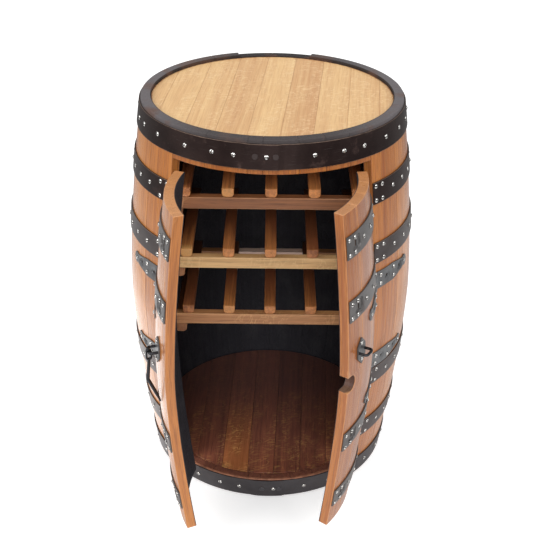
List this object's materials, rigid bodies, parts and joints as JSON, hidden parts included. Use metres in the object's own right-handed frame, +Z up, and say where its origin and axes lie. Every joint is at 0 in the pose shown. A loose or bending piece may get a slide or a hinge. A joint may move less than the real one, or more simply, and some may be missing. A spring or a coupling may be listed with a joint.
{
  "type": "barrel bar cabinet",
  "caption": "Oak cask used as a bar cabinet, with two curved strap-hinged doors, a tiered bottle rack, a lower compartment, and a hook-and-ring latch.",
  "frame": {"origin": "centre of the cask's underside, on its axis", "axes": "+Z up along the cask's axis, -Y towards the front where the doors open, +X to the viewer's right"},
  "size_m": [0.656, 0.8083, 0.9],
  "materials": {
    "varnished_oak": "satin varnish",
    "pale_oak": "satin varnish",
    "red_oak_floor": "satin varnish",
    "rack_oak": "oiled",
    "dark_steel": "satin, weathered",
    "forged_steel": "forged, black",
    "bright_screws": "bright"
  },
  "bodies": {
    "cabinet": {"cabinet_screws": "bright_screws", "floor_boards": "red_oak_floor", "hoop_1": "dark_steel", "hoop_2": "dark_steel", "hoop_3": "dark_steel", "hoop_4": "dark_steel", "hoop_5": "dark_steel", "hoop_6": "dark_steel", "hoop_rivets": "dark_steel", "left_fixed_leaves": "forged_steel", "left_hinge_pins": "forged_steel", "lintel_stave_ends": "varnished_oak", "rack_back_rails": "rack_oak", "rack_bars_1": "rack_oak", "rack_bars_2": "rack_oak", "rack_bars_3": "rack_oak", "rack_front_rail_1": "rack_oak", "rack_front_rail_2": "rack_oak", "rack_front_rail_3": "rack_oak", "rack_runners": "rack_oak", "right_fixed_leaves": "forged_steel", "right_hinge_pins": "forged_steel", "sill_stave_ends": "varnished_oak", "stave_01": "varnished_oak", "stave_02": "varnished_oak", "stave_03": "varnished_oak", "stave_04": "varnished_oak", "stave_05": "varnished_oak", "stave_06": "varnished_oak", "stave_07": "varnished_oak", "stave_08": "varnished_oak", "stave_09": "varnished_oak", "stave_10": "varnished_oak", "stave_11": "varnished_oak", "stave_12": "varnished_oak", "stave_13": "varnished_oak", "stave_14": "varnished_oak", "stave_15": "varnished_oak", "stave_16": "varnished_oak", "top_boards": "pale_oak"},
    "right_door": {"right_door_leaves": "forged_steel", "right_door_screws": "bright_screws", "right_door_stave_1": "varnished_oak", "right_door_stave_2": "varnished_oak", "right_door_stave_3": "varnished_oak", "right_door_stave_4": "varnished_oak", "right_door_straps": "dark_steel", "right_latch_plate": "forged_steel", "right_latch_ring": "forged_steel"},
    "left_door": {"left_door_leaves": "forged_steel", "left_door_screws": "bright_screws", "left_door_stave_1": "varnished_oak", "left_door_stave_2": "varnished_oak", "left_door_stave_3": "varnished_oak", "left_door_stave_4": "varnished_oak", "left_door_straps": "dark_steel", "left_latch_plate": "forged_steel", "left_latch_ring": "forged_steel"},
    "latch_hook": {"latch_hook": "forged_steel"}
  },
  "joints": [
    {"name": "right_hinge", "type": "hinge", "parent": "cabinet", "child": "right_door", "pos_m": [0.22631, -0.24099, 0.456], "axis": [0, 0, 1], "range_deg": [-52.5, 66]},
    {"name": "left_hinge", "type": "hinge", "parent": "cabinet", "child": "left_door", "pos_m": [-0.22631, -0.24099, 0.456], "axis": [0, 0, -1], "range_deg": [-64.5, 54]},
    {"name": "hook_swing", "type": "hinge", "parent": "left_door", "child": "latch_hook", "pos_m": [-0.2437, -0.43995, 0.511], "axis": [-0.284, 0.9588, 0], "range_deg": [0, 105]}
  ]
}
